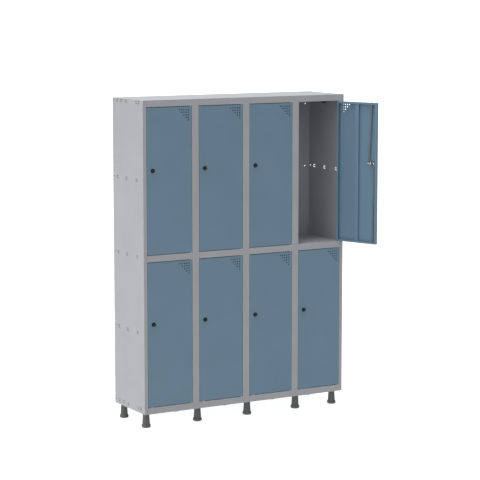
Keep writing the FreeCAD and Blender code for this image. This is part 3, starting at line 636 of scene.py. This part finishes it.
# ---------------------------------------------------------------- feet
FOOT_END_INSET = 38.0
FOOT_PAST_POST = 39.0
FOOT_YS = (60.0, 356.0)
FOOT_FLUTES = 20
FOOT_FLUTE_STEPS = 8
FOOT_FLUTE_DEPTH = 1.1


def foot_mesh():
    """A fluted cone on a stepped collar, with a smooth neck under the cabinet."""
    profile = [
        (17.0, 0.0, 0.0), (20.5, 0.4, 0.0), (23.6, 1.6, 0.0), (25.9, 3.6, 0.0), (27.0, 6.4, 0.0),
        (27.0, 16.2, 0.0), (26.6, 17.8, 0.0), (25.2, 18.8, 0.0), (23.4, 19.0, 0.0), (22.6, 19.6, 0.0),
        (22.7, 21.5, 0.0), (22.6, 23.5, 0.6), (22.4, 26.0, 1.0), (21.2, 45.0, 1.0), (20.0, 65.0, 1.0),
        (19.4, 78.0, 1.0), (19.3, 80.5, 0.6), (19.6, 82.5, 0.0), (19.9, 83.5, 0.0), (19.9, 88.6, 0.0),
        (19.4, 89.7, 0.0), (18.0, 90.0, 0.0),
    ]
    bm = bmesh.new()
    add_lathe(bm, profile, (0, 0, 1), (0, 0, 0), FOOT_FLUTES * FOOT_FLUTE_STEPS,
              flutes=FOOT_FLUTES, flute_depth=FOOT_FLUTE_DEPTH)
    return finish_mesh("foot", bm, [foot_plastic])


def build_feet():
    """Two rows of feet: one at each end, and one beside each post."""
    mesh = foot_mesh()
    beside_posts = [column * PITCH + FOOT_PAST_POST for column in range(1, COLUMNS)]
    foot_xs = [FOOT_END_INSET] + beside_posts + [WIDTH - FOOT_END_INSET]
    for row, y in zip(("front", "back"), FOOT_YS):
        for i, x in enumerate(foot_xs):
            cabinet_piece("foot_%s_%d" % (row, i + 1), mesh, ["feet"], (x, y, 0.0))


# ---------------------------------------------------------------- coat hooks and buffers
HOOK_Y = 195.0
HOOK_DROP = 26.0
HOOK_BEND = 15.0
HOOK_TUBE = 5.5
HOOK_BALL = 7.5
HOOK_PLATE = 3.0
HOOK_PLATE_SIDE = 11.0
HOOK_PLATE_HALF = 15.0
HOOK_PLATE_MIDDLE = HOOK_PLATE_HALF - HOOK_TUBE
HOOK_STEPS = 16
HOOK_TIP = 4.0
TUBE_STEPS = 20
CORNER_STEPS = 6
SCREW_Y = 7.0
SCREW_Z = 9.5
BUFFER_INSET = 60.0


def add_tube(bm, points, radius):
    """A round bar along a 3-D line in the xz plane, with both ends closed."""
    depth = Vector((0, 1, 0))
    rings = []
    for i, spot in enumerate(points):
        before, after = points[max(i - 1, 0)], points[min(i + 1, len(points) - 1)]
        along = (after - before).normalized()
        across = along.cross(depth).normalized()
        ring = []
        for cosine, sine in circle(TUBE_STEPS):
            spoke = across * cosine + depth * sine
            ring.append(bm.verts.new(spot + spoke * radius))
        rings.append(ring)
    add_closed_rings(bm, rings)


def add_hook_plate(bm, wall):
    """The hook's back plate, with round corners and a rounded front edge."""
    corner = HOOK_PLATE_SIDE / 2.0
    outline = []
    for cy, cz, start in ((1, 1, 0), (-1, 1, 90), (-1, -1, 180), (1, -1, 270)):
        centre_y = cy * (HOOK_PLATE_SIDE - corner)
        centre_z = HOOK_PLATE_MIDDLE + cz * (HOOK_PLATE_HALF - corner)
        for step in range(CORNER_STEPS + 1):
            angle = math.radians(start + 90.0 * step / CORNER_STEPS)
            outline.append((centre_y + corner * math.cos(angle), centre_z + corner * math.sin(angle)))
    rings = []
    for x, inset in ((wall, 0.0), (wall - 2.2, 0.0), (wall - 2.8, 0.3), (wall - HOOK_PLATE, 1.0)):
        ring = []
        for y, z in outline:
            toward = Vector((-y, HOOK_PLATE_MIDDLE - z)).normalized() * inset
            ring.append(bm.verts.new((x, y + toward.x, z + toward.y)))
        rings.append(ring)
    add_closed_rings(bm, rings)


def hook_mesh():
    """A coat hook, measured from the centre of its bend: a bent bar, a ball, a plate and two screws."""
    bm = bmesh.new()
    wall = HOOK_BEND + HOOK_TUBE
    points = [Vector((HOOK_BEND, 0.0, HOOK_PLATE_HALF))]
    for step in range(HOOK_STEPS + 1):
        angle = math.pi * step / HOOK_STEPS
        points.append(Vector((HOOK_BEND * math.cos(angle), 0.0, -HOOK_BEND * math.sin(angle))))
    points.append(Vector((-HOOK_BEND, 0.0, HOOK_TIP)))
    add_tube(bm, points, HOOK_TUBE)
    ball = [(HOOK_BALL * math.cos(math.radians(a)), HOOK_BALL * math.sin(math.radians(a)))
            for a in range(-84, 85, 12)]
    add_lathe(bm, plain(ball), (0, 0, 1), (-HOOK_BEND, 0.0, HOOK_BALL + 2.0), 32)
    add_hook_plate(bm, wall)
    head = [(3.0, 0.0), (3.0, 0.6), (2.5, 1.2), (1.4, 1.5), (1.3, 0.9)]
    for side in (-1.0, 1.0):
        place = (wall - HOOK_PLATE, side * SCREW_Y, HOOK_PLATE_MIDDLE - side * SCREW_Z)
        add_lathe(bm, plain(head), (-1, 0, 0), place, 24, material=1)
    return finish_mesh("coat_hook", bm, [black_plastic, zinc])


def build_hooks():
    """One hook on the right wall of every compartment, under its ceiling."""
    mesh = hook_mesh()
    for low, level in zip(OPENING_BOTTOMS, LEVELS):
        z = low + OPENING_HEIGHT - HOOK_DROP + HOOK_BEND + HOOK_TUBE
        for column in range(COLUMNS):
            last = column == COLUMNS - 1
            wall = (column + 1) * PITCH - (SHEET if last else SHEET / 2.0)
            at = (wall - HOOK_BEND - HOOK_TUBE, HOOK_Y, z)
            name = "coat_hook_%d_%s" % (column + 1, level)
            cabinet_piece(name, mesh, ["coat_hooks"], at)


def build_buffers():
    """Small domed rubber buffers on the free-edge stop lips."""
    bm = bmesh.new()
    profile = [(4.0, 0.0), (4.0, 0.9), (3.7, 1.35), (3.0, 1.6), (1.6, 1.7)]
    add_lathe(bm, plain(profile), (0, -1, 0), (0, 0, 0), 32)
    mesh = finish_mesh("door_buffer", bm, [rubber])
    for low, level in zip(OPENING_BOTTOMS, LEVELS):
        heights = {"low": low + BUFFER_INSET, "high": low + OPENING_HEIGHT - BUFFER_INSET}
        for column in range(COLUMNS):
            for end, z in heights.items():
                name = "buffer_%d_%s_%s" % (column + 1, level, end)
                at = (column * PITCH + HALF_POST + STOP_LIP / 2.0, FRAME_RETURN - SHEET, z)
                cabinet_piece(name, mesh, ["door_buffers"], at)


# ---------------------------------------------------------------- doors
VENT_ROWS = 5
VENT_PITCH = 15.0
VENT_RADIUS = 3.8
VENT_TOP_INSET = 18.5
VENT_HINGE_INSET = 21.7
GUIDE_CUT_DEPTH = 2.5
MITRE_START = 1.6
MITRE_END = DOOR_LIP + 2.0
MITRE_HALF_GAP = 0.3
STIFFENER_MIDDLE = (DOOR_LEFT + DOOR_RIGHT) / 2.0
STIFFENER_HALF_HAT = 12.5
STIFFENER_HALF_WIDTH = 22.5
STIFFENER_DEPTH = 15.0
STIFFENER_END_GAP = 2.0
WELD_ROWS = 9
WELD_END_INSET = 40.0
WELD_OFFSET = (STIFFENER_HALF_HAT + STIFFENER_HALF_WIDTH) / 2.0


def door_shell():
    """The middle surface of the folded pan: skin, four returns and four inner lips."""
    bm = bmesh.new()
    half = SHEET / 2.0
    x0, x1 = DOOR_LEFT + half, DOOR_RIGHT - half
    y0, y1 = DOOR_FRONT + half, DOOR_BACK - half
    z0, z1 = half, DOOR_HEIGHT - half
    inner_x = (DOOR_LEFT + DOOR_LIP, DOOR_RIGHT - DOOR_LIP)
    inner_z = (DOOR_LIP, DOOR_HEIGHT - DOOR_LIP)
    rings = [
        [bm.verts.new(p) for p in ((x0, y0, z0), (x1, y0, z0), (x1, y0, z1), (x0, y0, z1))],
        [bm.verts.new(p) for p in ((x0, y1, z0), (x1, y1, z0), (x1, y1, z1), (x0, y1, z1))],
        [bm.verts.new((x, y1, z)) for x, z in (
            (inner_x[0], inner_z[0]), (inner_x[1], inner_z[0]),
            (inner_x[1], inner_z[1]), (inner_x[0], inner_z[1]))],
    ]
    add_ring_faces(bm, rings)
    bm.faces.new(rings[0])
    bmesh.ops.recalc_face_normals(bm, faces=bm.faces)
    folds = [edge for edge in bm.edges if edge.is_manifold and edge.calc_face_angle() > 1.0]
    bmesh.ops.bevel(bm, geom=folds, offset=BEND_RADIUS, segments=BEND_STEPS, profile=0.5, affect="EDGES")
    mesh = finish_mesh("door_shell", bm, [door_paint])
    settings = {"thickness": SHEET * MM, "offset": 0.0, "use_even_offset": True}
    return evaluated(mesh, "SOLIDIFY", settings)


def door_cutters():
    """Vents, rod slots, pivot holes and the mitre gaps of the inner lips."""
    bm = bmesh.new()
    for row in range(VENT_ROWS):
        z = DOOR_HEIGHT - VENT_TOP_INSET - row * VENT_PITCH
        for i in range(VENT_ROWS - row):
            x = DOOR_RIGHT - VENT_HINGE_INSET - i * VENT_PITCH
            vent = (x, DOOR_FRONT - CUT_PAST, z)
            cylinder_cutter(bm, vent, (0, 1, 0), VENT_RADIUS, SHEET + 2 * CUT_PAST)
    top = DOOR_HEIGHT
    add_slot_cutter(bm, UP_SLOT, GUIDE_MARGIN, LOCK_X, ROD_Y, top - GUIDE_CUT_DEPTH, top + CUT_PAST)
    add_slot_cutter(bm, DOWN_SLOT, GUIDE_MARGIN, LOCK_X, ROD_Y, -CUT_PAST, GUIDE_CUT_DEPTH)
    for z in (-CUT_PAST, top - CUT_DEPTH):
        cylinder_cutter(bm, (0.0, 0.0, z), (0, 0, 1), PIN_HOLE_RADIUS, CUT_PAST + CUT_DEPTH)
    levels = Vector((0, DOOR_BACK - 2 * SHEET, 0)), Vector((0, DOOR_BACK + CUT_PAST, 0))
    for x, sx in ((DOOR_LEFT, 1.0), (DOOR_RIGHT, -1.0)):
        for z, sz in ((0.0, 1.0), (top, -1.0)):
            start = Vector((x + sx * MITRE_START, 0.0, z + sz * MITRE_START))
            end = Vector((x + sx * MITRE_END, 0.0, z + sz * MITRE_END))
            side = Vector((-sx, 0.0, sz)).normalized() * MITRE_HALF_GAP
            corners = (start - side, end - side, end + side, start + side)
            rings = [[bm.verts.new(corner + level) for corner in corners] for level in levels]
            add_closed_rings(bm, rings)
    return bm


def stiffener_mesh():
    """The hat section down the middle of the door, with spot-weld dimples on its flanges."""
    half = SHEET / 2.0
    skin = DOOR_FRONT + SHEET
    middle, side, tip = STIFFENER_MIDDLE, STIFFENER_HALF_HAT - half, STIFFENER_HALF_WIDTH
    low, high = skin + half, skin + STIFFENER_DEPTH - half
    path = [
        (middle - tip, low), (middle - side, low), (middle - side, high),
        (middle + side, high), (middle + side, low), (middle + tip, low),
    ]
    sheet = folded_sheet(path, STIFFENER_END_GAP, DOOR_HEIGHT - STIFFENER_END_GAP, "xyz")
    mesh = finish_mesh("stiffener", sheet, [door_paint])
    welds = bmesh.new()
    dimple = plain([(1.2, -0.35), (2.0, -0.2), (2.6, 0.1), (2.6, 1.0)])
    for row in range(WELD_ROWS):
        z = WELD_END_INSET + row * (DOOR_HEIGHT - 2 * WELD_END_INSET) / (WELD_ROWS - 1)
        for x in (middle - WELD_OFFSET, middle + WELD_OFFSET):
            add_lathe(welds, dimple, (0, 1, 0), (x, skin + SHEET, z), 20)
    return flattened_normals(cut(mesh, welds))


def panel_mesh():
    """Pan and stiffener as one mesh."""
    pan = flattened_normals(cut(door_shell(), door_cutters()))
    stiffener = stiffener_mesh()
    bm = bmesh.new()
    bm.from_mesh(pan)
    bm.from_mesh(stiffener)
    mesh = bpy.data.meshes.new("door_panel")
    bm.to_mesh(mesh)
    bm.free()
    mesh.materials.append(door_paint)
    return flattened_normals(mesh)


# ---------------------------------------------------------------- lock
ESCUTCHEON_HEIGHT = 1.6
KNOB_BACK = DOOR_FRONT - ESCUTCHEON_HEIGHT - 0.3
CAM_THICKNESS = 3.0
CAM_END_RADIUS = 7.0
CAM_WAIST_RADIUS = 11.0
CAM_STEPS = 18
CAM_EDGE_ROUND = 0.35
BARREL_RADIUS = 9.0
THREAD_TURNS = 5
BARREL_NUT_RADIUS = 12.0
GRIP_STEPS = 40
GRIP_WAIST = 0.16
ROD_STEPS = 32


def at_lock(x, y, z):
    """A place measured from the lock axis, in the door's own coordinates."""
    return Vector((LOCK_X + x, y, LOCK_Z + z))


def escutcheon_mesh():
    """The black rosette under the knob."""
    bm = bmesh.new()
    profile = [
        (13.5, 0.0), (13.5, 0.7), (13.3, 1.1), (12.8, 1.45), (12.1, ESCUTCHEON_HEIGHT),
        (11.5, ESCUTCHEON_HEIGHT), (11.2, 1.35), (6.0, 1.35),
    ]
    add_lathe(bm, plain(profile), (0, -1, 0), at_lock(0, DOOR_FRONT, 0), 72)
    return finish_mesh("escutcheon", bm, [black_plastic])


def barrel_mesh():
    """The threaded barrel behind the skin and its chamfered hexagon nut."""
    bm = bmesh.new()
    skin = DOOR_FRONT + SHEET
    threads = [(BARREL_RADIUS, 0.0)]
    for i in range(THREAD_TURNS):
        crest = 0.4 + i
        threads += [(BARREL_RADIUS, crest), (BARREL_RADIUS - 0.45, crest + 0.5)]
    threads += [(BARREL_RADIUS, 5.6), (BARREL_RADIUS - 0.3, 6.0), (6.6, 6.0)]
    add_lathe(bm, plain(threads), (0, 1, 0), at_lock(0, skin, 0), 64)
    corner = BARREL_NUT_RADIUS / math.cos(math.pi / 6.0)
    rings = []
    for height, radius in ((0.0, corner), (3.2, corner), (4.0, corner - 1.1)):
        ring = []
        for cosine, sine in circle(6):
            ring.append(bm.verts.new(at_lock(radius * cosine, skin + height, radius * sine)))
        rings.append(ring)
    add_closed_rings(bm, rings)
    return finish_mesh("barrel", bm, [nickel])


def knob_mesh():
    """The knob: a ribbed base and a waisted grip bar, level while the lock is open."""
    bm = bmesh.new()
    base = [
        (9.7, 0.0, 0.0), (10.3, 0.3, 0.4), (10.5, 0.8, 1.0), (10.5, 3.6, 1.0),
        (10.3, 4.4, 0.6), (9.6, 4.9, 0.0), (8.6, 5.0, 0.0),
    ]
    add_lathe(bm, base, (0, -1, 0), at_lock(0, KNOB_BACK, 0), 108, flutes=18, flute_depth=0.4)
    rings = []
    for height, half_length, half_width in (
            (4.5, 9.7, 3.9), (6.5, 9.5, 3.6), (9.0, 9.3, 3.3), (11.8, 9.2, 3.2),
            (13.1, 8.8, 2.9), (13.8, 8.0, 2.2), (14.0, 7.0, 1.4)):
        ring = []
        for cosine, sine in circle(GRIP_STEPS):
            x = half_length * math.copysign(abs(cosine) ** 0.45, cosine)
            waist = 1.0 - GRIP_WAIST * (1.0 - (x / half_length) ** 2)
            z = half_width * waist * math.copysign(abs(sine) ** 0.55, sine)
            ring.append(bm.verts.new(at_lock(x, KNOB_BACK - height, z)))
        rings.append(ring)
    add_closed_rings(bm, rings)
    return finish_mesh("knob", bm, [black_plastic])


def cam_outline():
    """Two round ends and a wider round waist."""
    outline = []
    for side in (1.0, -1.0):
        for i in range(CAM_STEPS + 1):
            angle = math.radians(-90.0 + 180.0 * i / CAM_STEPS)
            x = CAM_THROW + CAM_END_RADIUS * math.cos(angle)
            outline.append((side * x, side * CAM_END_RADIUS * math.sin(angle)))
        for i in range(1, CAM_STEPS):
            angle = math.radians(40.0 + 100.0 * i / CAM_STEPS)
            radius = side * CAM_WAIST_RADIUS
            outline.append((radius * math.cos(angle), radius * math.sin(angle)))
    return outline


def cam_mesh():
    """Spindle, cam plate, its nut and the two rod pins with domed heads."""
    bm = bmesh.new()
    spindle = [(4.0, 0.0), (4.0, CAM_Y - KNOB_BACK + 0.5)]
    add_lathe(bm, plain(spindle), (0, 1, 0), at_lock(0, KNOB_BACK, 0), 40)
    outline = cam_outline()
    rings = []
    for depth, inset in (
            (0.0, CAM_EDGE_ROUND), (CAM_EDGE_ROUND, 0.0),
            (CAM_THICKNESS - CAM_EDGE_ROUND, 0.0), (CAM_THICKNESS, CAM_EDGE_ROUND)):
        ring = []
        for x, z in outline:
            share = 1.0 - inset / max(math.hypot(x, z), 1.0)
            ring.append(bm.verts.new(at_lock(x * share, CAM_Y + depth, z * share)))
        rings.append(ring)
    add_closed_rings(bm, rings)
    nut = [(10.0, 0.0), (10.0, 6.8), (9.5, 7.5), (8.6, 7.9), (8.0, 8.0), (3.0, 8.0)]
    add_lathe(bm, fluted(nut), (0, 1, 0), at_lock(0, CAM_Y + CAM_THICKNESS, 0), 96,
              flutes=6, flute_depth=1.0, material=1)
    pin = [
        (3.0, -10.2), (3.0, CAM_THICKNESS), (5.0, CAM_THICKNESS),
        (5.0, 3.4), (4.5, 3.95), (3.0, 4.2),
    ]
    for side in (-1.0, 1.0):
        add_lathe(bm, plain(pin), (0, 1, 0), at_lock(side * CAM_THROW, CAM_Y, 0), 40, material=2)
    return finish_mesh("cam", bm, [blackened, nickel, chrome])


def rod_mesh(sign):
    """A round rod whose end is pressed flat into an eye for the cam pin."""
    guide, reach = (UP_GUIDE, UP_REACH) if sign > 0 else (DOWN_GUIDE, DOWN_REACH)
    pin = at_lock(sign * CAM_THROW, ROD_Y, 0)
    along = Vector((guide - sign * CAM_THROW, 0.0, sign * reach))
    length = along.length * (reach + 2.0) / reach
    along.normalize()
    depth = Vector((0, 1, 0))
    across = along.cross(depth)
    bm = bmesh.new()
    rings = []
    for run, half_across, half_depth in (
            (5.4, 5.0, 1.9), (9.0, 5.2, 1.9), (15.0, 4.9, 2.2), (22.0, 4.3, 3.2),
            (30.0, ROD_RADIUS, ROD_RADIUS), (length - 1.5, ROD_RADIUS, ROD_RADIUS),
            (length - 0.5, 3.2, 3.2), (length, 2.5, 2.5)):
        ring = []
        for cosine, sine in circle(ROD_STEPS):
            spoke = across * (half_across * cosine) + depth * (half_depth * sine)
            ring.append(bm.verts.new(pin + along * run + spoke))
        rings.append(ring)
    add_closed_rings(bm, rings)
    eye = [(3.1, -2.0), (6.6, -2.0), (7.0, -1.6), (7.0, 1.6), (6.6, 2.0), (3.1, 2.0)]
    rings = []
    for radius, height in eye + eye[:1]:
        ring = []
        for cosine, sine in circle(ROD_STEPS):
            spoke = across * (radius * cosine) + along * (radius * sine)
            ring.append(bm.verts.new(pin + depth * height + spoke))
        rings.append(ring)
    add_ring_faces(bm, rings)
    bmesh.ops.remove_doubles(bm, verts=bm.verts, dist=1e-4)
    return finish_mesh("rod", bm, [drawn_steel])


def build_doors():
    """Every door with its lock and its two rods, all from the same few meshes."""
    panel = panel_mesh()
    escutcheon = escutcheon_mesh()
    barrel = barrel_mesh()
    knob = knob_mesh()
    cam = cam_mesh()
    rods = {"up": rod_mesh(1), "down": rod_mesh(-1)}
    for door in door_names():
        door_piece(door, "folded_panel", panel, door, door + "_panel")
        door_piece(door, "escutcheon", escutcheon, door, door + "_lock_case")
        door_piece(door, "barrel", barrel, door, door + "_lock_case")
        door_piece(door, "knob", knob, door + "_knob", door + "_turn_knob")
        door_piece(door, "cam", cam, door + "_knob", door + "_turn_knob")
        for way, mesh in rods.items():
            body = "%s_%s_rod" % (door, way)
            door_piece(door, "%s_bar" % way, mesh, body, "%s_rod_%s" % (door, way))


# ---------------------------------------------------------------- CAD nodes that stay
KEPT_NODES = {
    "back_panel_left": cabinet_paint,
    "back_panel_right": cabinet_paint,
    "base_panel": cabinet_paint,
    "lower_floors": cabinet_paint,
    "upper_floors": cabinet_paint,
    "partition_1": cabinet_paint,
    "partition_2": cabinet_paint,
    "partition_3": cabinet_paint,
    "foot_studs": zinc,
    "foot_plates": zinc,
    "hinge_pins": zinc,
    "door_spacers": washer_nylon,
}


def finish_kept_nodes():
    """Gives the CAD pieces that stay their own materials."""
    for name, material in KEPT_NODES.items():
        slots = frame["nodes"][name].data.materials
        slots.clear()
        slots.append(material)


# ---------------------------------------------------------------- stage, light and camera
CAMERA_YAW = math.radians(29.68)
CAMERA_PITCH = math.radians(7.74)
CAMERA_DISTANCE = 11.215
CAMERA_LENS = 137.2
AIM_X = WIDTH / 2.0 + 70.3
AIM_HEIGHT = (BODY_BOTTOM + WALL_TOP) / 2.0 + 42.5
AIM = CORNER + Vector((AIM_X, DEPTH / 2.0, AIM_HEIGHT)) * MM
KEY_DIRECTION = Vector((-0.10, 0.02, 0.99))
KEY_STRENGTH = 2.45
KEY_ANGLE = math.radians(36.0)
SOFT_LIGHT = 0.52
SOFT_LIGHT_SLOPE = (-0.40, 0.0, 0.22)
BACKGROUND_LIGHT = 1.1
FLOOR_GLOW = 0.90
FLOOR_HALF_SIZE = 600.0


def build_stage():
    """A wide pale floor that takes shadows and gives no diffuse light back to the locker."""
    bm = bmesh.new()
    bmesh.ops.create_grid(bm, x_segments=1, y_segments=1, size=FLOOR_HALF_SIZE)
    mesh = bpy.data.meshes.new("floor")
    bm.to_mesh(mesh)
    bm.free()
    floor = add_object("floor", mesh)
    floor.visible_diffuse = False
    made, _, shader = new_material("studio_floor")
    shader.inputs["Base Color"].default_value = (0.40, 0.40, 0.40, 1.0)
    shader.inputs["Roughness"].default_value = 0.9
    shader.inputs["Specular IOR Level"].default_value = 0.0
    shader.inputs["Emission Color"].default_value = (1.0, 1.0, 1.0, 1.0)
    shader.inputs["Emission Strength"].default_value = FLOOR_GLOW
    mesh.materials.append(made)


def build_light():
    """A large soft key from above, and soft light all round that is brighter from the left and above."""
    key = bpy.data.lights.new("key", "SUN")
    key.energy = KEY_STRENGTH
    key.angle = KEY_ANGLE
    made = bpy.data.objects.new("key", key)
    bpy.context.scene.collection.objects.link(made)
    made.rotation_euler = KEY_DIRECTION.to_track_quat("Z", "Y").to_euler()
    world = bpy.data.worlds.new("studio")
    bpy.context.scene.world = world
    world.use_nodes = True
    nodes, links = world.node_tree.nodes, world.node_tree.links
    soft = nodes["Background"]
    soft.inputs["Color"].default_value = (0.97, 0.985, 1.0, 1.0)
    direction = nodes.new("ShaderNodeTexCoord")
    slope = nodes.new("ShaderNodeVectorMath")
    slope.operation = "DOT_PRODUCT"
    slope.inputs[1].default_value = SOFT_LIGHT_SLOPE
    strength = nodes.new("ShaderNodeMath")
    strength.inputs[1].default_value = SOFT_LIGHT
    links.new(direction.outputs["Generated"], slope.inputs[0])
    links.new(slope.outputs["Value"], strength.inputs[0])
    links.new(strength.outputs["Value"], soft.inputs["Strength"])
    white = nodes.new("ShaderNodeBackground")
    white.inputs["Strength"].default_value = BACKGROUND_LIGHT
    rays = nodes.new("ShaderNodeLightPath")
    mix = nodes.new("ShaderNodeMixShader")
    links.new(rays.outputs["Is Camera Ray"], mix.inputs["Fac"])
    links.new(soft.outputs["Background"], mix.inputs[1])
    links.new(white.outputs["Background"], mix.inputs[2])
    links.new(mix.outputs["Shader"], nodes["World Output"].inputs["Surface"])


def build_camera():
    """A long lens to the left of the locker, a little above its middle."""
    camera = bpy.data.cameras.new("camera")
    camera.lens = CAMERA_LENS
    camera.sensor_width = 36.0
    camera.clip_end = 2000.0
    made = bpy.data.objects.new("camera", camera)
    bpy.context.scene.collection.objects.link(made)
    level = math.cos(CAMERA_PITCH)
    forward = Vector((math.sin(CAMERA_YAW) * level, math.cos(CAMERA_YAW) * level, -math.sin(CAMERA_PITCH)))
    made.location = AIM - forward * CAMERA_DISTANCE
    made.rotation_euler = (math.pi / 2.0 - CAMERA_PITCH, 0.0, -CAMERA_YAW)
    bpy.context.scene.camera = made
    bpy.context.scene.view_settings.view_transform = "Standard"


build_shell()
build_rails()
build_top()
build_feet()
build_hooks()
build_buffers()
build_doors()
finish_kept_nodes()
build_stage()
build_light()
build_camera()
